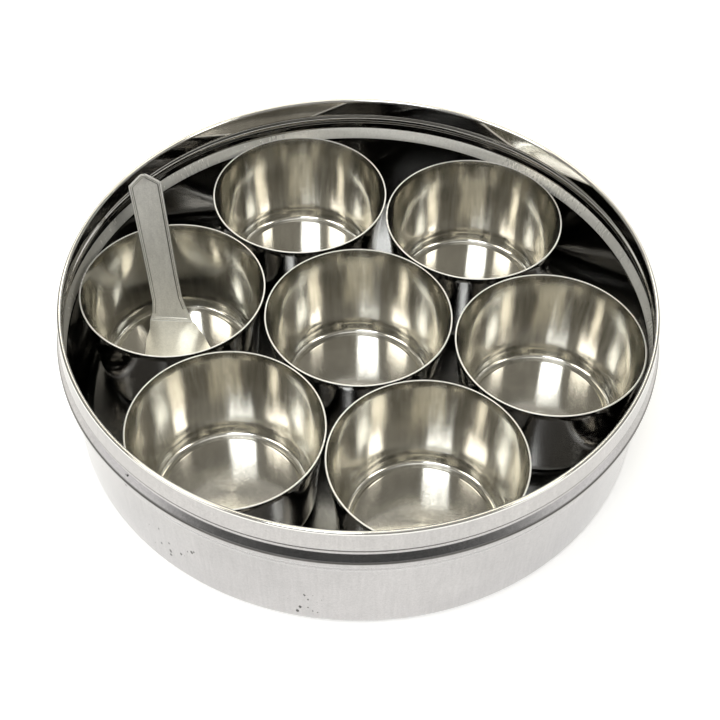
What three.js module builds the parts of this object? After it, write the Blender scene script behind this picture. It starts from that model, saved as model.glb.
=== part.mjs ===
// Open round spice box in spun steel sheet, with seven loose cups and a small flat spoon.
// Millimetres, +Z up. The origin is the centre of the box's underside, on the surface it stands on.

import * as THREE from 'three';

// Driving dimensions
const sheet = 0.6;             // thickness of the box's and the cups' steel
const seatGap = 0.3;           // air between a cup's foot and the box's floor

const boxHeight = 57.8;        // underside to the top of the hem
const boxFootRadius = 107.2;   // wall, where the bottom corner starts
const boxCornerRadius = 5;
const shoulderRadius = 108.3;  // wall, under the bead
const beadRadius = 110.3;      // the widest line, which a lid stops on
const grooveRadius = 107.8;
const neckFootRadius = 109;
const neckTopRadius = 107.6;
const hemRadius = 108.3;       // outside of the rolled hem
const hemRoll = 0.85;          // radius of the roll itself

const shoulderDrop = 21;       // drops are measured down from the top of the hem
const beadFootDrop = 16.3;
const beadTopDrop = 13.9;
const grooveDrop = 10.6;
const neckFootDrop = 8.9;

const cupHeight = 40.6;
const cupRimRadius = 35;
const cupFootRadius = 31.2;    // drafted wall, where the bottom corner starts
const cupCornerRadius = 4.2;
const discRadius = 24.9;       // raised middle of a cup's floor
const discRise = 1.2;
const discSlope = 1;           // radial width of the step round the disc

const ringTurn = -9.7;         // degrees from +X to the first cup of the ring
const ringNear = 70.6;         // reach of a ring cup that sits against the centre cup
const ringFar = 71.4;          // reach of a ring cup that has slid out to the wall

const spoonThickness = 1.1;
const spoonLean = 67.2;        // degrees, handle above the horizontal
const spoonHeading = 109.3;    // degrees, the way the handle leans, seen from above
const spoonRoll = -12.7;       // degrees about the handle, left-hand edge down
const foldAngle = 67.7;        // degrees between the handle and the blade
const foldSkew = 0.21;         // climb of the fold's left end along the handle, per unit of width
const bendReach = 16.6;        // from the cup's axis to the spoon's fold, towards the handle
const bendHeight = 4.9;        // fold above the cup's foot
const handleLength = 62.9;
const bladeLength = 33;

const boxFacets = 80;
const cupFacets = 36;
const cornerSteps = 4;
const hemSteps = 9;

const degrees = Math.PI / 180;

const steels = {
  box: { color: 0xd3cfcc, roughness: 0.24, metalness: 1 },
  cup: { color: 0xb8b3a5, roughness: 0.2, metalness: 1 },
  spoon: { color: 0xaaa9a5, roughness: 0.42, metalness: 1 }
};

// Points of a round corner or roll about (x, y), from one angle to another in degrees
function arc(x, y, radius, from, to, steps) {
  return Array.from({ length: steps + 1 }, (_, i) => {
    const angle = (from + (to - from) * i / steps) * degrees;
    return new THREE.Vector2(x + radius * Math.cos(angle), y + radius * Math.sin(angle));
  });
}

// The same line moved to its left by a distance, with mitred corners: the other face of a bent sheet
function offset(line, distance) {
  const sides = line.slice(1).map((point, i) => {
    const along = point.clone().sub(line[i]).normalize();
    return new THREE.Vector2(-along.y, along.x);
  });
  return line.map((point, i) => {
    const before = sides[Math.max(i - 1, 0)];
    const after = sides[Math.min(i, sides.length - 1)];
    const mitre = before.clone().add(after).normalize();
    return point.clone().addScaledVector(mitre, distance / mitre.dot(before));
  });
}

// A closed profile spun about Z
function spun(profile, facets) {
  return new THREE.LatheGeometry(profile, facets).rotateX(Math.PI / 2);
}

function placed(name, geometry, steel) {
  const mesh = new THREE.Mesh(geometry, new THREE.MeshStandardMaterial(steel));
  mesh.name = name;
  return mesh;
}

// Floor, corner, drafted wall, bead, groove and neck are one sheet, and its edge is rolled into the hem
function boxGeometry() {
  const at = (radius, drop) => new THREE.Vector2(radius, boxHeight - drop);
  const cornerCentre = boxFootRadius - boxCornerRadius;
  const outside = [
    new THREE.Vector2(0, 0),
    ...arc(cornerCentre, boxCornerRadius, boxCornerRadius, -90, 0, cornerSteps),
    at(shoulderRadius, shoulderDrop),
    at(beadRadius, beadFootDrop),
    at(beadRadius, beadTopDrop),
    at(grooveRadius, grooveDrop),
    at(neckFootRadius, neckFootDrop),
    at(neckTopRadius, 2 * hemRoll)
  ];
  const inside = offset(outside, sheet);
  const hem = arc(hemRadius - hemRoll, boxHeight - hemRoll, hemRoll, -30, 230, hemSteps);
  return spun([...outside, ...hem, ...inside.slice(0, -1).reverse()], boxFacets);
}

// A cup stands on the ring round its raised disc. Its wall is drafted and its edge is plain
function cupGeometry() {
  const cornerCentre = cupFootRadius - cupCornerRadius;
  const outside = [
    new THREE.Vector2(0, discRise),
    new THREE.Vector2(discRadius, discRise),
    new THREE.Vector2(discRadius + discSlope, 0),
    ...arc(cornerCentre, cupCornerRadius, cupCornerRadius, -90, 0, cornerSteps),
    new THREE.Vector2(cupRimRadius, cupHeight)
  ];
  return spun([...outside, ...offset(outside, sheet).reverse()], cupFacets);
}

function cup(name, reach, turn) {
  const mesh = placed(name, cupGeometry(), steels.cup);
  mesh.position.set(reach * Math.cos(turn * degrees), reach * Math.sin(turn * degrees), sheet + seatGap);
  return mesh;
}

// Half width of the spoon at a distance along it from the fold: blade behind, handle in front
const spoonOutline = [
  { along: -bladeLength, half: 9.5 },
  { along: -bladeLength + 1.2, half: 12 },
  { along: -bladeLength + 4, half: 13.7 },
  { along: -20, half: 13.9 },
  { along: -10, half: 11.6 },
  { along: -3, half: 9.2 },
  { along: 0, half: 8.4 },
  { along: 5, half: 6.9 },
  { along: 10, half: 6 },
  { along: 20, half: 5.9 },
  { along: 40, half: 6.1 },
  { along: handleLength - 4, half: 6.3 },
  { along: handleLength, half: 1 }
];

// The direction along +X that climbs by some degrees
function sloping(climb) {
  return new THREE.Vector3(Math.cos(climb * degrees), 0, Math.sin(climb * degrees));
}

// Directions of the flat handle, of the flat blade and of the slanting fold between them
function spoonPlanes() {
  const handle = { along: sloping(spoonLean), across: new THREE.Vector3(0, 1, 0) };
  handle.up = handle.along.clone().cross(handle.across);
  const fold = handle.across.clone().addScaledVector(handle.along, foldSkew);
  const axis = fold.clone().normalize();
  const folded = (direction) => direction.clone().applyAxisAngle(axis, foldAngle * degrees);
  const blade = { along: folded(handle.along), across: folded(handle.across), up: folded(handle.up) };
  const mitre = blade.up.clone().add(handle.up).divideScalar(1 + blade.up.dot(handle.up));
  return { handle, blade, crease: { along: handle.along, across: fold, up: mitre } };
}

// A flat strip of changing width, folded once at the origin. The handle heads for +X and +Z
function spoonGeometry() {
  const { handle, blade, crease } = spoonPlanes();
  const corners = [];
  for (const { along, half } of spoonOutline) {
    const plane = along === 0 ? crease : along < 0 ? blade : handle;
    const middle = plane.along.clone().multiplyScalar(along);
    for (const [side, face] of [[-1, -1], [1, -1], [1, 1], [-1, 1]]) {
      const corner = middle.clone().addScaledVector(plane.across, side * half);
      corners.push(corner.addScaledVector(plane.up, face * spoonThickness / 2));
    }
  }
  const triangles = [[0, 2, 1], [0, 3, 2]];
  for (let station = 4; station < corners.length; station += 4) {
    for (let corner = 0; corner < 4; corner += 1) {
      const next = (corner + 1) % 4;
      triangles.push([station - 4 + corner, station - 4 + next, station + next]);
      triangles.push([station - 4 + corner, station + next, station + corner]);
    }
  }
  const last = corners.length - 4;
  triangles.push([last, last + 1, last + 2], [last, last + 2, last + 3]);
  const geometry = new THREE.BufferGeometry().setFromPoints(corners);
  geometry.setIndex(triangles.flat());
  geometry.computeVertexNormals();
  return geometry;
}

// The spoon leans in a cup: its blade is near the cup's floor and its handle passes over the cup's rim
function spoon(cupMesh) {
  const mesh = placed('spoon', spoonGeometry(), steels.spoon);
  const heading = new THREE.Quaternion().setFromAxisAngle(new THREE.Vector3(0, 0, 1), spoonHeading * degrees);
  const roll = new THREE.Quaternion().setFromAxisAngle(sloping(spoonLean), spoonRoll * degrees);
  mesh.quaternion.copy(heading).multiply(roll);
  const bend = new THREE.Vector3(bendReach, 0, bendHeight).applyQuaternion(heading);
  mesh.position.copy(cupMesh.position).add(bend);
  return mesh;
}

const group = new THREE.Group();
group.add(placed('box_body', boxGeometry(), steels.box));
group.add(cup('cup_centre', 0, 0));

const ringCups = [
  { name: 'cup_right', reach: ringFar },
  { name: 'cup_back_right', reach: ringNear },
  { name: 'cup_back_left', reach: ringFar },
  { name: 'cup_left', reach: ringFar },
  { name: 'cup_front_left', reach: ringNear },
  { name: 'cup_front_right', reach: ringNear }
];
ringCups.forEach(({ name, reach }, i) => {
  const mesh = cup(name, reach, ringTurn + i * 360 / ringCups.length);
  group.add(mesh);
  if (name === 'cup_left') group.add(spoon(mesh));
});

export default group;
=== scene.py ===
import math

import bpy
from mathutils import Matrix, Vector


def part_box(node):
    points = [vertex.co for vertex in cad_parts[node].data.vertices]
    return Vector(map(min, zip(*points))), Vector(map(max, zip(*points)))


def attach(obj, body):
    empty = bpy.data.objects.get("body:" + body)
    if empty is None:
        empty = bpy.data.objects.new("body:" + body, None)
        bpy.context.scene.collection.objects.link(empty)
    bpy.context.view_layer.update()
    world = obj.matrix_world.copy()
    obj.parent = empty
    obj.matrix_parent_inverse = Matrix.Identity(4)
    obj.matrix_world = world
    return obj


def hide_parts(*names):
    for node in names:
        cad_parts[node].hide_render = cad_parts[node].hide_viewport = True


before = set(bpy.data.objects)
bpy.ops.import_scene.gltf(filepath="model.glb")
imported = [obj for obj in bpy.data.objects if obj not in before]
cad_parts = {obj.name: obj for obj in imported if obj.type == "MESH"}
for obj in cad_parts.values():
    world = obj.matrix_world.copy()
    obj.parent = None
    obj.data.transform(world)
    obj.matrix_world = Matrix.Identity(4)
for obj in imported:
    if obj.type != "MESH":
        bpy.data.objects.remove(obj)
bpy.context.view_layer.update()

mm = 0.001
mergeReach = 0.001 * mm
cupNames = sorted(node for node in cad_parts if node.startswith("cup_"))
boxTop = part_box("box_body")[1].z
print("frame loaded:", len(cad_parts), "nodes")


# points of a round corner about (x, z), in degrees
def arcPoints(x, z, radius, start, end, steps):
    turns = [math.radians(start + (end - start) * i / steps) for i in range(steps + 1)]
    return [(x + radius * math.cos(t), z + radius * math.sin(t)) for t in turns]


# a line through (x, z, ease) corners, each one rounded by a curve of about that size
def softened(corners, steps=4, support=1.25):
    line = []
    for i, (x, z, ease) in enumerate(corners):
        here = Vector((x, z))
        if ease == 0 or i in (0, len(corners) - 1):
            line.append((x, z))
            continue
        back = (Vector(corners[i - 1][:2]) - here).normalized() * ease
        ahead = (Vector(corners[i + 1][:2]) - here).normalized() * ease
        line.append(tuple(here + back * support))  # support points keep the flats beside the corner flat
        for k in range(steps + 1):
            t = k / steps
            line.append(tuple(here + back * (1 - t) ** 2 + ahead * t ** 2))
        line.append(tuple(here + ahead * support))
    return line


# one open sheet: a profile in mm, extruded point by point from a single vertex and spun about +Z
def spinSheet(name, profile, facets):
    points = [Vector((x * mm, 0, z * mm)) for x, z in profile]
    bpy.ops.object.select_all(action="DESELECT")
    bpy.ops.mesh.primitive_plane_add(size=mm, location=points[0])
    sheet = bpy.context.object
    sheet.name = sheet.data.name = name
    bpy.ops.object.transform_apply(location=True)
    bpy.ops.object.mode_set(mode="EDIT")
    bpy.ops.mesh.select_all(action="SELECT")
    bpy.ops.mesh.merge(type="CENTER")
    for before, after in zip(points, points[1:]):
        bpy.ops.mesh.extrude_region_move(TRANSFORM_OT_translate={"value": after - before})
    bpy.ops.mesh.select_all(action="SELECT")
    bpy.ops.mesh.spin(steps=facets, angle=2 * math.pi, center=(0, 0, 0), axis=(0, 0, 1))
    bpy.ops.mesh.select_all(action="SELECT")
    bpy.ops.mesh.remove_doubles(threshold=mergeReach)
    bpy.ops.mesh.normals_make_consistent(inside=False)
    bpy.ops.object.mode_set(mode="OBJECT")
    lowest = min(sheet.data.polygons, key=lambda face: face.center.z)
    if lowest.normal.z > 0:  # the outside of a bowl faces down at its foot
        bpy.ops.object.mode_set(mode="EDIT")
        bpy.ops.mesh.flip_normals()
        bpy.ops.object.mode_set(mode="OBJECT")
    return sheet


# the slight unevenness of spun metal
def waveSheet(sheet, size, height):
    clouds = bpy.data.textures.new(sheet.name + "Waves", "CLOUDS")
    clouds.noise_scale = size
    clouds.noise_depth = 1
    waves = sheet.modifiers.new("waves", "DISPLACE")
    waves.texture = clouds
    waves.texture_coords = "LOCAL"
    waves.strength = height
    bpy.ops.object.modifier_apply(modifier="waves")


# thickness goes inwards. The inside takes the second material slot and the cut edge the third
def thickenSheet(sheet, thickness, edge):
    solid = sheet.modifiers.new("solid", "SOLIDIFY")
    solid.thickness = thickness
    solid.offset = -1
    solid.use_even_offset = True
    solid.material_offset = 1
    solid.material_offset_rim = 2
    bpy.ops.object.modifier_apply(modifier="solid")
    bevel = sheet.modifiers.new("edge", "BEVEL")
    bevel.width = edge
    bevel.segments = 2
    bevel.limit_method = "ANGLE"
    bevel.angle_limit = math.radians(60)
    bevel.material = 2
    bpy.ops.object.modifier_apply(modifier="edge")
    bpy.ops.object.shade_smooth_by_angle(angle=math.radians(38))


def selectOnly(piece):
    bpy.ops.object.select_all(action="DESELECT")
    piece.select_set(True)
    bpy.context.view_layer.objects.active = piece


def addNode(tree, kind, **settings):
    made = tree.nodes.new(kind)
    for key, value in settings.items():
        setattr(made, key, value)
    return made


def maths(tree, operation, first, second=None, clamp=False):
    made = addNode(tree, "ShaderNodeMath", operation=operation, use_clamp=clamp)
    for socket, value in zip(made.inputs, (first, second)):
        if isinstance(value, (int, float)):
            socket.default_value = value
        elif value is not None:
            tree.links.new(value, socket)
    return made.outputs[0]


# a 0 to 1 pattern turned into one that swings either side of 0
def swing(tree, pattern, amount):
    return maths(tree, "MULTIPLY", maths(tree, "SUBTRACT", pattern, 0.5), amount)


def noise(tree, vector, scale, detail, rough=0.55):
    made = addNode(tree, "ShaderNodeTexNoise")
    made.inputs["Scale"].default_value = scale
    made.inputs["Detail"].default_value = detail
    made.inputs["Roughness"].default_value = rough
    tree.links.new(vector, made.inputs["Vector"])
    return made.outputs["Fac"]


def stretched(tree, vector, scale):
    made = addNode(tree, "ShaderNodeVectorMath", operation="MULTIPLY")
    made.inputs[1].default_value = scale
    tree.links.new(vector, made.inputs[0])
    return made.outputs[0]


# the patterns that every finish is mixed from, about the upright axis through centre
def steelPatterns(tree, look, centre, seed):
    coordinates = addNode(tree, "ShaderNodeTexCoord")
    mapping = addNode(tree, "ShaderNodeMapping")
    mapping.inputs["Location"].default_value = (-centre.x, -centre.y, seed)
    tree.links.new(coordinates.outputs["Object"], mapping.inputs["Vector"])
    place = mapping.outputs["Vector"]
    apart = addNode(tree, "ShaderNodeSeparateXYZ")
    tree.links.new(place, apart.inputs[0])
    x, y, z = apart.outputs
    square = maths(tree, "ADD", maths(tree, "MULTIPLY", x, x), maths(tree, "MULTIPLY", y, y))
    rings = addNode(tree, "ShaderNodeCombineXYZ")
    tree.links.new(maths(tree, "SQRT", square), rings.inputs["X"])
    tree.links.new(z, rings.inputs["Y"])
    drawn = stretched(tree, place, (1, 1, look["uprightStretch"]))
    return {
        "place": place, "x": x, "y": y, "z": z,
        "upright": noise(tree, drawn, look["uprightScale"], 4),
        "turned": noise(tree, rings.outputs[0], look["turnedScale"], 3),
        "grain": noise(tree, place, look["grainScale"], 2, 0.7),
        "smudge": noise(tree, place, look["smudgeScale"], 4, 0.6),
        "patches": noise(tree, place, look["patchScale"], 2, 0.5),
    }


# two steels mixed by smudges and streaks, with a fine speckle over them
def steelColour(tree, look, patterns):
    wear = maths(tree, "ADD", maths(tree, "MULTIPLY", patterns["smudge"], 0.6),
                 maths(tree, "MULTIPLY", patterns["upright"], 0.4))
    blend = addNode(tree, "ShaderNodeMapRange")
    blend.inputs["From Min"].default_value, blend.inputs["From Max"].default_value = look["wearRange"]
    tree.links.new(wear, blend.inputs["Value"])
    colour = addNode(tree, "ShaderNodeMix", data_type="RGBA")
    colour.inputs["A"].default_value = (*look["dark"], 1)
    colour.inputs["B"].default_value = (*look["light"], 1)
    tree.links.new(blend.outputs["Result"], colour.inputs["Factor"])
    speckled = addNode(tree, "ShaderNodeMix", data_type="RGBA", blend_type="MULTIPLY")
    speckled.inputs["Factor"].default_value = 1
    tree.links.new(colour.outputs["Result"], speckled.inputs["A"])
    speckle = maths(tree, "ADD", 1, swing(tree, patterns["grain"], look["speckle"]))
    tree.links.new(speckle, speckled.inputs["B"])
    return speckled.outputs["Result"]


# polish, with duller smudges and streaks
def steelRoughness(tree, look, patterns):
    dull = maths(tree, "ADD", swing(tree, patterns["smudge"], look["smudge"]),
                 swing(tree, patterns["upright"], look["streak"]))
    dull = maths(tree, "ADD", dull, swing(tree, patterns["patches"], look["smudge"]))
    return maths(tree, "ADD", look["roughness"], dull, clamp=True)


# turning lines, upright brushing and grain, in metres
def steelRelief(tree, look, patterns):
    relief = maths(tree, "ADD", maths(tree, "MULTIPLY", patterns["turned"], look["turnedHeight"]),
                   maths(tree, "MULTIPLY", patterns["upright"], look["uprightHeight"]))
    return maths(tree, "ADD", relief, maths(tree, "MULTIPLY", patterns["grain"], look["grainHeight"]))


# a few clusters of small pits, each cluster at an azimuth, a height and with a size
def steelPits(tree, look, patterns):
    cells = addNode(tree, "ShaderNodeTexVoronoi", feature="F1")
    cells.inputs["Scale"].default_value = look["pitScale"]
    tree.links.new(stretched(tree, patterns["place"], (1, 1, 0.6)), cells.inputs["Vector"])
    chance = addNode(tree, "ShaderNodeSeparateColor")  # one random colour for each cell
    tree.links.new(cells.outputs["Color"], chance.inputs[0])
    width = maths(tree, "MULTIPLY", chance.outputs[1], look["pitWidth"])
    spot = maths(tree, "LESS_THAN", cells.outputs["Distance"], width)
    spot = maths(tree, "MULTIPLY", spot, maths(tree, "GREATER_THAN", chance.outputs[0], look["pitFewness"]))
    clusters = 0
    for azimuth, height, size in look["pitSpots"]:
        middle = Matrix.Rotation(math.radians(azimuth), 3, "Z") @ Vector((look["pitReach"], 0, height))
        gap = addNode(tree, "ShaderNodeVectorMath", operation="DISTANCE")
        gap.inputs[1].default_value = middle
        tree.links.new(patterns["place"], gap.inputs[0])
        ragged = maths(tree, "MULTIPLY", patterns["smudge"], 2 * size)
        near = maths(tree, "GREATER_THAN", ragged, gap.outputs["Value"])
        clusters = maths(tree, "MAXIMUM", clusters, near)
    return maths(tree, "MULTIPLY", spot, clusters)


# painted shade: dark bands along the creases, each at a height and with a half width
def steelCreaseShade(tree, look, patterns):
    creaseShade = 0
    strength = maths(tree, "ADD", 0.7, maths(tree, "MULTIPLY", patterns["smudge"], 0.6))
    for height, width in look["creaseShade"]:
        away = maths(tree, "ABSOLUTE", maths(tree, "SUBTRACT", patterns["z"], height))
        band = maths(tree, "SUBTRACT", 1.6, maths(tree, "MULTIPLY", away, 1.6 / width), clamp=True)
        creaseShade = maths(tree, "MAXIMUM", creaseShade, maths(tree, "MULTIPLY", band, strength, clamp=True))
    return creaseShade


# darkens the colour by the pits and by the painted crease shade
def darkened(tree, colour, mark, look):
    made = addNode(tree, "ShaderNodeMix", data_type="RGBA")
    made.inputs["B"].default_value = (*look["pitAndShadeColour"], 1)
    tree.links.new(colour, made.inputs["A"])
    tree.links.new(maths(tree, "MULTIPLY", mark, look["pitAndShadeStrength"]), made.inputs["Factor"])
    return made.outputs["Result"]


# the direction round the upright axis, which the turning lines follow
def turningTangent(tree, patterns):
    around = addNode(tree, "ShaderNodeCombineXYZ")
    tree.links.new(maths(tree, "MULTIPLY", patterns["y"], -1), around.inputs["X"])
    tree.links.new(patterns["x"], around.inputs["Y"])
    tangent = addNode(tree, "ShaderNodeVectorTransform", vector_type="VECTOR", convert_from="OBJECT",
                      convert_to="WORLD")
    tree.links.new(around.outputs[0], tangent.inputs[0])
    return tangent.outputs[0]


# one procedural steel, with its patterns laid round the upright axis through centre
def steel(name, look, centre=Vector((0, 0, 0)), seed=0):
    material = bpy.data.materials.new(name)
    material.use_nodes = True
    tree = material.node_tree
    shader = tree.nodes["Principled BSDF"]
    shader.inputs["Metallic"].default_value = look["metallic"]
    shader.inputs["Anisotropic"].default_value = look["anisotropy"]
    shader.inputs["Anisotropic Rotation"].default_value = 0.25  # spread across the turning lines
    patterns = steelPatterns(tree, look, centre, seed)
    colour = steelColour(tree, look, patterns)
    relief = steelRelief(tree, look, patterns)
    if look["pitSpots"]:
        pits = steelPits(tree, look, patterns)
        # the pits darken the colour, and the crease bands add painted shade
        mark = maths(tree, "MAXIMUM", pits, steelCreaseShade(tree, look, patterns))
        colour = darkened(tree, colour, mark, look)
        relief = maths(tree, "SUBTRACT", relief, maths(tree, "MULTIPLY", pits, look["pitDepth"]))
    bump = addNode(tree, "ShaderNodeBump")
    bump.inputs["Strength"].default_value = 1
    bump.inputs["Distance"].default_value = 1
    tree.links.new(relief, bump.inputs["Height"])
    tree.links.new(colour, shader.inputs["Base Color"])
    tree.links.new(steelRoughness(tree, look, patterns), shader.inputs["Roughness"])
    tree.links.new(bump.outputs["Normal"], shader.inputs["Normal"])
    if look["anisotropy"] > 0:
        tree.links.new(turningTangent(tree, patterns), shader.inputs["Tangent"])
    return material


# heights of the relief are in metres, and a scale is in repeats to the metre
plainSteel = {
    "dark": (0.53, 0.515, 0.485), "light": (0.64, 0.625, 0.60), "wearRange": (0.36, 0.64),
    "metallic": 1, "roughness": 0.12, "smudge": 0.10, "streak": 0.06, "anisotropy": 0, "speckle": 0.1,
    "smudgeScale": 34, "patchScale": 11, "grainScale": 2500, "grainHeight": 0,
    "uprightScale": 900, "uprightStretch": 0.02, "uprightHeight": 0,
    "turnedScale": 1500, "turnedHeight": 0, "pitSpots": [],
}
boxWallLook = {
    **plainSteel, "dark": (0.46, 0.449, 0.453), "light": (0.535, 0.521, 0.525),
    "roughness": 0.15, "streak": 0.05, "smudge": 0.05, "speckle": 0.35,
    "uprightHeight": 1.6e-6, "uprightStretch": 0.05, "turnedHeight": 2.2e-6,
    "grainHeight": 1e-6, "grainScale": 1300,
    "pitScale": 700, "pitWidth": 0.42, "pitFewness": 0.55, "pitDepth": 4e-5, "pitReach": 0.108,
    "pitSpots": [(207, 0.030, 0.006), (214, 0.026, 0.004), (233, 0.018, 0.007), (238, 0.021, 0.005),
                 (262, 0.012, 0.007), (226, 0.042, 0.004)],
    # the crease bands are painted shade; they share one dark colour with the real pits
    "creaseShade": [(0.0490, 0.0005), (0.0439, 0.0007)], "pitAndShadeColour": (0.035, 0.033, 0.03), "pitAndShadeStrength": 0.9,
}
boxInnerLook = {**plainSteel, "roughness": 0.08, "smudge": 0.07, "uprightHeight": 2e-6}
# the floor inside: a much darker steel, painted shade between the cups
boxFloorShadeLook = {**plainSteel, "dark": (0.17, 0.17, 0.172), "light": (0.23, 0.23, 0.23), "roughness": 0.22}
# the ledge inside the bead: a pale, less metallic steel, a painted highlight
ledgeHighlightLook = {
    **plainSteel, "dark": (0.84, 0.83, 0.79), "light": (0.95, 0.94, 0.90), "roughness": 0.27,
    "metallic": 0.4, "speckle": 0.3, "grainScale": 1300,
}
# the hem and its cut edge: a brighter steel than the wall, a painted highlight
hemHighlightLook = {**plainSteel, "dark": (0.74, 0.73, 0.71), "light": (0.82, 0.81, 0.79), "roughness": 0.10}
cupOuterLook = {**plainSteel, "roughness": 0.085, "smudge": 0.08, "uprightHeight": 2e-6}
cupInnerLook = {
    **plainSteel, "dark": (0.50, 0.485, 0.445), "light": (0.69, 0.675, 0.625),
    "roughness": 0.15, "smudge": 0.08, "streak": 0.16, "anisotropy": 0.8, "speckle": 0.28,
    "uprightScale": 420, "uprightStretch": 0.03, "uprightHeight": 6e-6,
    "turnedHeight": 2.5e-6, "grainHeight": 2.8e-6, "grainScale": 1500,
}
cupDiscLook = {
    **plainSteel, "roughness": 0.115, "smudge": 0.07, "anisotropy": 0.8,
    "turnedScale": 2200, "turnedHeight": 6e-6, "grainHeight": 2e-6,
}
# the cut rim and edges of a cup: a pale, half-metallic steel, a painted highlight
cupRimHighlightLook = {
    **plainSteel, "dark": (0.89, 0.88, 0.86), "light": (0.96, 0.95, 0.93), "roughness": 0.30, "metallic": 0.5,
}
cupFinishes = {  # in the order of the cup's material slots
    "outerSteel": cupOuterLook, "innerSteel": cupInnerLook, "rimHighlightSteel": cupRimHighlightLook, "discSteel": cupDiscLook,
}
spoonLook = {
    **plainSteel, "dark": (0.74, 0.73, 0.70), "light": (0.93, 0.92, 0.88), "metallic": 0.65,
    "roughness": 0.40, "smudge": 0.2, "streak": 0.12, "uprightScale": 700, "uprightStretch": 0.1,
    "uprightHeight": 6e-6, "grainHeight": 8e-6, "grainScale": 1900, "speckle": 0.4,
}
# the blade's face: a darker, yellower copy of the spoon steel, painted shade
spoonBladeShadeLook = {**spoonLook, "dark": (0.66, 0.64, 0.57), "light": (0.82, 0.79, 0.71), "roughness": 0.32}
# the steps in the spoon's border: a dark steel, painted shade
spoonStepShadeLook = {**plainSteel, "dark": (0.30, 0.29, 0.27), "light": (0.42, 0.41, 0.39), "roughness": 0.3}


# the box in mm. Each crease of its wall is (radius, drop from the top of the hem, ease)
boxBody = {
    "sheet": 0.6, "foot": 107.2, "corner": 5, "middle": (107.65, 20),
    "creases": {
        "shoulder": (108.3, 21.0, 1.1), "beadFoot": (110.3, 16.3, 0.6), "beadTop": (110.3, 13.9, 0.55),
        "groove": (107.8, 10.6, 0.8), "neckFoot": (109.0, 8.9, 0.7), "neckTop": (107.6, 1.9, 0.3),
    },
    "hem": 108.3, "roll": 0.85, "edge": 0.12, "floor": 3, "ledge": (16.6, 20.8),
    "waveSize": 55, "waveHeight": 0.22, "facets": 192,
}


def makeBox():
    size = boxBody
    top = boxTop / mm
    foot, corner, roll = size["foot"], size["corner"], size["roll"]
    floor = [(reach, 0) for reach in (0, 30, 60, 90)]
    bend = arcPoints(foot - corner, corner, corner, -90, 0, 12)
    creases = [(radius, top - drop, ease) for radius, drop, ease in size["creases"].values()]
    wall = softened([(foot, corner, 0), (*size["middle"], 0), *creases])
    hem = arcPoints(size["hem"] - roll, top - roll, roll, -40, 250, 24)
    shell = spinSheet("boxShell", floor + bend + wall[1:-1] + hem, size["facets"])
    waveSheet(shell, size["waveSize"] * mm, size["waveHeight"] * mm)
    shell.data.materials.append(steel("boxWallSteel", boxWallLook))
    shell.data.materials.append(steel("boxInnerSteel", boxInnerLook, seed=0.3))
    shell.data.materials.append(steel("hemHighlightSteel", hemHighlightLook))
    shell.data.materials.append(steel("boxFloorShadeSteel", boxFloorShadeLook))
    shell.data.materials.append(steel("ledgeHighlightSteel", ledgeHighlightLook))
    thickenSheet(shell, size["sheet"] * mm, size["edge"] * mm)
    for face in shell.data.polygons:
        drop = top - face.center.z / mm
        if drop < 2 * roll:
            face.material_index = 2  # the hem, in a brighter steel as a painted highlight
        elif face.center.z < size["floor"] * mm and face.normal.z > 0.5:
            face.material_index = 3  # the floor inside, darkened as painted shade between the cups
        elif size["ledge"][0] < drop < size["ledge"][1] and face.material_index == 1:
            face.material_index = 4  # the ledge inside the bead, in a pale, less metallic steel as a painted highlight
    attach(shell, "box")
    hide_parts("box_body")


# the cup in mm, from its foot and its axis
cupBody = {
    "sheet": 0.6, "foot": 31.2, "corner": 4.4, "cornerTop": 31.15, "ring": 28.6, "flare": 0.5, "edge": 0.12,
    "disc": 24.9, "discRise": 1.2, "discSlope": 1, "discCrown": 0.45,
    "discEase": 0.35, "ringEase": 1.7, "wallEase": 2.2,
    "waveSize": 30, "waveHeight": 0.17, "facets": 128,
}


def cupProfile():
    size = cupBody
    low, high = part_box("cup_centre")
    foot, top = low.z / mm, high.z / mm
    rim = (high.x - low.x) / 2 / mm
    disc, wallFoot = size["disc"], size["foot"]
    floor = foot + size["discRise"]
    shares = (0, 0.12, 0.3, 0.5, 0.7, 0.85, 0.95)
    crown = [(disc * t, floor + size["discCrown"] * (1 - t * t)) for t in shares]
    start = foot + size["corner"]
    wall = []
    for t in (0.2, 0.35, 0.5, 0.65, 0.8, 0.9, 1):
        opening = size["flare"] * t + (1 - size["flare"]) * t * t  # the wall opens more towards the rim
        wall.append((wallFoot + (rim - wallFoot) * opening, start + (top - start) * t))
    bend = softened([
        (*crown[-1], 0), (disc, floor, size["discEase"]), (disc + size["discSlope"], foot, size["discEase"]),
        (size["ring"], foot, size["ringEase"]), (size["cornerTop"], start, size["wallEase"]), (*wall[0], 0),
    ], 6)
    return crown + bend[1:-1] + wall


# one cup about the upright axis, with empty slots for its finishes
def makeCupBlank():
    size = cupBody
    blank = spinSheet("cupBlank", cupProfile(), size["facets"])
    waveSheet(blank, size["waveSize"] * mm, size["waveHeight"] * mm)
    while len(blank.data.materials) < len(cupFinishes):
        blank.data.materials.append(None)
    thickenSheet(blank, size["sheet"] * mm, size["edge"] * mm)
    for face in blank.data.polygons:
        if face.center.xy.length < (size["disc"] + 0.2) * mm and face.normal.z > 0:
            face.material_index = 3  # the raised disc
    return blank


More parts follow.
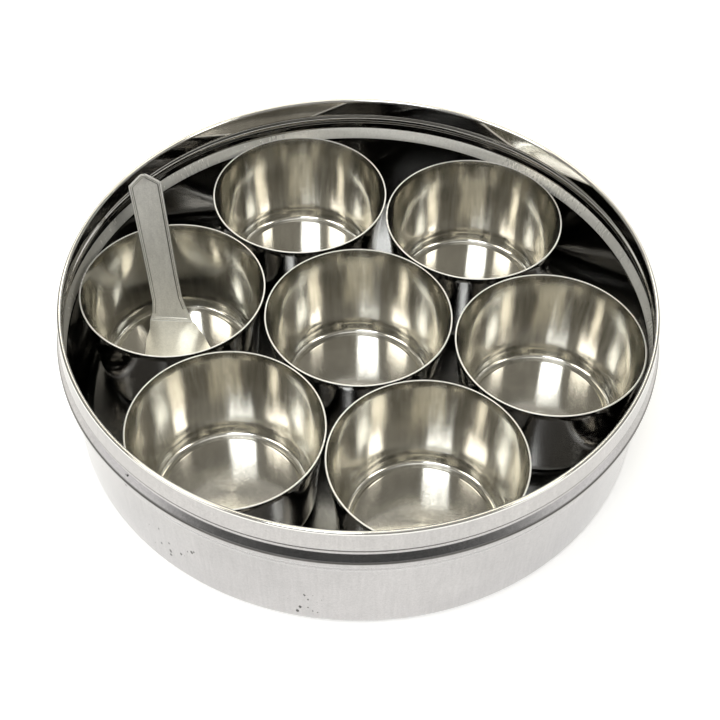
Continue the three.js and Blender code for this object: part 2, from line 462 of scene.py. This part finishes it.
# a copy of the blank at its own place, turned so that no two cups are quite alike
def placeCup(blank, node, number):
    low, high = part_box(node)
    centre = Vector(((low.x + high.x) / 2, (low.y + high.y) / 2, 0))
    cup = blank.copy()
    cup.data = blank.data.copy()
    cup.name = cup.data.name = node + "_sheet"
    bpy.context.scene.collection.objects.link(cup)
    cup.data.transform(Matrix.Translation(centre) @ Matrix.Rotation(math.radians(100 * number), 4, "Z"))
    for slot, (finish, look) in enumerate(cupFinishes.items()):
        cup.data.materials[slot] = steel(node + "_" + finish, look, centre, 0.21 * number)
    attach(cup, node)
    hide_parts(node)


# the spoon's pressed border in mm: a lip, a step, a flat and a second step down to the middle
spoonBody = {
    "lip": 0.6, "step": 0.16, "stepRun": 0.15, "flat": 0.5, "sunk": 0.3, "sunkRun": 0.2, "edge": 0.14,
    "borderFoot": 12, "faces": (0.30, -0.86, 0.40),  # lowest step of the border, and the way the handle faces
}


# a free copy of the frame's flat strip, merged and with whole faces
def copySpoonStrip():
    strip = bpy.data.objects["spoon"]
    spoon = strip.copy()
    spoon.data = strip.data.copy()
    spoon.name = spoon.data.name = "spoonStrip"
    bpy.context.scene.collection.objects.link(spoon)
    spoon.data.transform(spoon.matrix_world)
    spoon.parent = None
    spoon.matrix_world = Matrix.Identity(4)
    spoon.hide_render = False
    spoon.data.materials.clear()
    selectOnly(spoon)
    bpy.ops.object.mode_set(mode="EDIT")
    bpy.ops.mesh.select_all(action="SELECT")
    bpy.ops.mesh.remove_doubles(threshold=mergeReach)
    bpy.ops.mesh.tris_convert_to_quads(face_threshold=math.radians(10), shape_threshold=math.radians(180))
    bpy.ops.mesh.normals_make_consistent(inside=False)
    bpy.ops.mesh.select_all(action="DESELECT")
    bpy.ops.object.mode_set(mode="OBJECT")
    return spoon


# the flat pressed spoon, with a raised border round the handle's face
def makeSpoon():
    size = spoonBody
    spoon = copySpoonStrip()
    for face in spoon.data.polygons:  # the handle's face is the steep one that looks up
        face.select = face.normal.y < -0.6 and face.normal.z > 0.2
    bpy.ops.object.mode_set(mode="EDIT")
    bpy.ops.mesh.select_mode(type="FACE")
    bpy.ops.mesh.inset(thickness=size["lip"] * mm, depth=0)
    bpy.ops.mesh.inset(thickness=size["stepRun"] * mm, depth=-size["step"] * mm)
    bpy.ops.mesh.inset(thickness=size["flat"] * mm, depth=0)
    bpy.ops.mesh.inset(thickness=size["sunkRun"] * mm, depth=-size["sunk"] * mm)
    bpy.ops.object.mode_set(mode="OBJECT")
    bevel = spoon.modifiers.new("edge", "BEVEL")
    bevel.width = size["edge"] * mm
    bevel.segments = 2
    bevel.limit_method = "ANGLE"
    bevel.angle_limit = math.radians(50)
    bpy.ops.object.modifier_apply(modifier="edge")
    bpy.ops.object.shade_smooth_by_angle(angle=math.radians(35))
    spoon.data.materials.append(steel("spoonSteel", spoonLook))
    spoon.data.materials.append(steel("spoonStepShadeSteel", spoonStepShadeLook))
    spoon.data.materials.append(steel("spoonBladeShadeSteel", spoonBladeShadeLook))
    handleUp = Vector(size["faces"]).normalized()
    for face in spoon.data.polygons:
        if 0.25 < face.normal.dot(handleUp) < 0.93 and face.center.z > size["borderFoot"] * mm:
            face.material_index = 1  # the little steps beside the border, darkened as painted shade
        elif face.normal.z > 0.8:
            face.material_index = 2  # the blade's face, a darker, yellower copy of the spoon steel as painted shade
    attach(spoon, "spoon")
    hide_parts("spoon")


stageLook = {"floor": (0.93, 0.93, 0.93), "glow": 0.42, "size": 6, "drop": 0.0002}
sky = [  # elevation in degrees, and colour
    (0, (1.2, 1.19, 1.17)), (8, (1.15, 1.14, 1.11)), (11, (0.20, 0.20, 0.19)), (15, (0.05, 0.051, 0.05)),
    (27, (0.07, 0.07, 0.064)), (36, (0.32, 0.31, 0.275)), (50, (0.52, 0.50, 0.44)), (60, (0.40, 0.385, 0.34)),
    (70, (0.22, 0.215, 0.195)), (78, (0.6, 0.59, 0.56)), (83, (1.5, 1.49, 1.44)),
]
warm, cool, cream, straw = (1, 0.97, 0.88), (0.94, 0.98, 1), (1, 0.95, 0.76), (1, 0.96, 0.84)
windows = {  # soft panels: heading from +X and elevation in degrees, width and height in metres
    "leftWindow": {"heading": 205, "elevation": 44, "size": (0.56, 0.62), "radiance": 5.5, "colour": warm},
    "rightWindow": {"heading": 335, "elevation": 42, "size": (0.32, 0.50), "radiance": 7, "colour": warm},
    "highWindow": {"heading": 254, "elevation": 54, "size": (0.52, 0.36), "radiance": 8, "colour": cool},
    "highGlow": {"heading": 250, "elevation": 69, "size": (0.40, 0.42), "radiance": 1.6, "colour": cool},
    "backCeiling": {"heading": 92, "elevation": 64.2, "size": (1.1, 0.26), "radiance": 3.2, "colour": cream},
    "backGlow": {"heading": 90, "elevation": 42, "size": (1.3, 0.34), "radiance": 1.9, "colour": straw},
}
windowDistance = 1.5
view = {  # elevation and roll in degrees, distances in metres from the middle of the box's mouth, lens in mm
    "elevation": 48.72, "roll": 1.1, "distance": 0.4793, "sideways": 0.00086, "upwards": -0.02765,
    "lens": 66.18, "film": 36,
}


def makeStage():
    bpy.ops.object.select_all(action="DESELECT")
    bpy.ops.mesh.primitive_circle_add(vertices=96, radius=stageLook["size"] / 2, fill_type="NGON",
                                      location=(0, 0, -stageLook["drop"]))
    floor = bpy.context.object
    floor.name = "floor"
    material = bpy.data.materials.new("paleFloor")
    material.use_nodes = True
    shader = material.node_tree.nodes["Principled BSDF"]
    shader.inputs["Base Color"].default_value = (*stageLook["floor"], 1)
    shader.inputs["Roughness"].default_value = 0.9
    shader.inputs["Specular IOR Level"].default_value = 0.1
    shader.inputs["Emission Color"].default_value = (*stageLook["floor"], 1)
    shader.inputs["Emission Strength"].default_value = stageLook["glow"]
    floor.data.materials.append(material)


def makeSky():
    world = bpy.data.worlds.new("studio")
    bpy.context.scene.world = world
    world.use_nodes = True
    nodes, link = world.node_tree.nodes, world.node_tree.links.new
    coordinates = nodes.new("ShaderNodeTexCoord")
    apart = nodes.new("ShaderNodeSeparateXYZ")
    link(coordinates.outputs["Generated"], apart.inputs[0])
    ramp = nodes.new("ShaderNodeValToRGB")
    steps = ramp.color_ramp.elements
    steps[0].color = (*sky[0][1], 1)
    steps[1].color = (*sky[-1][1], 1)
    for climb, colour in sky[1:]:  # the height of a direction is the sine of its elevation
        steps.new(math.sin(math.radians(climb))).color = (*colour, 1)
    link(apart.outputs["Z"], ramp.inputs["Fac"])
    link(ramp.outputs["Color"], nodes["Background"].inputs["Color"])
    nodes["Background"].inputs["Strength"].default_value = 1


def makeWindow(name, window):
    heading, climb = math.radians(window["heading"]), math.radians(window["elevation"])
    away = Vector((math.cos(heading) * math.cos(climb), math.sin(heading) * math.cos(climb), math.sin(climb)))
    light = bpy.data.lights.new(name, "AREA")
    light.shape = "RECTANGLE"
    light.size, light.size_y = window["size"]
    light.energy = window["radiance"] * math.pi * light.size * light.size_y
    light.color = window["colour"]
    lamp = bpy.data.objects.new(name, light)
    bpy.context.scene.collection.objects.link(lamp)
    lamp.location = away * windowDistance
    lamp.rotation_euler = away.to_track_quat("Z", "Y").to_euler()


def makeCamera():
    climb, roll = math.radians(view["elevation"]), math.radians(view["roll"])
    back = Vector((0, -math.cos(climb), math.sin(climb)))
    right = Vector((1, 0, 0))
    up = back.cross(right)
    camera = bpy.data.objects.new("camera", bpy.data.cameras.new("camera"))
    bpy.context.scene.collection.objects.link(camera)
    camera.data.lens = view["lens"]
    camera.data.sensor_width = view["film"]
    place = Vector((0, 0, boxTop)) + back * view["distance"] + right * view["sideways"] + up * view["upwards"]
    across = right * math.cos(roll) + up * math.sin(roll)
    upward = up * math.cos(roll) - right * math.sin(roll)
    turned = Matrix((across, upward, back)).transposed().to_4x4()
    camera.matrix_world = Matrix.Translation(place) @ turned
    bpy.context.scene.camera = camera


makeStage()
makeSky()
for name, window in windows.items():
    makeWindow(name, window)
makeCamera()
bpy.context.scene.view_settings.view_transform = "Standard"
print("stage ready")
makeBox()
print("box made")
cupBlank = makeCupBlank()
for number, node in enumerate(cupNames):
    placeCup(cupBlank, node, number)
bpy.data.objects.remove(cupBlank)
print("cups made")
makeSpoon()
print("spoon made")
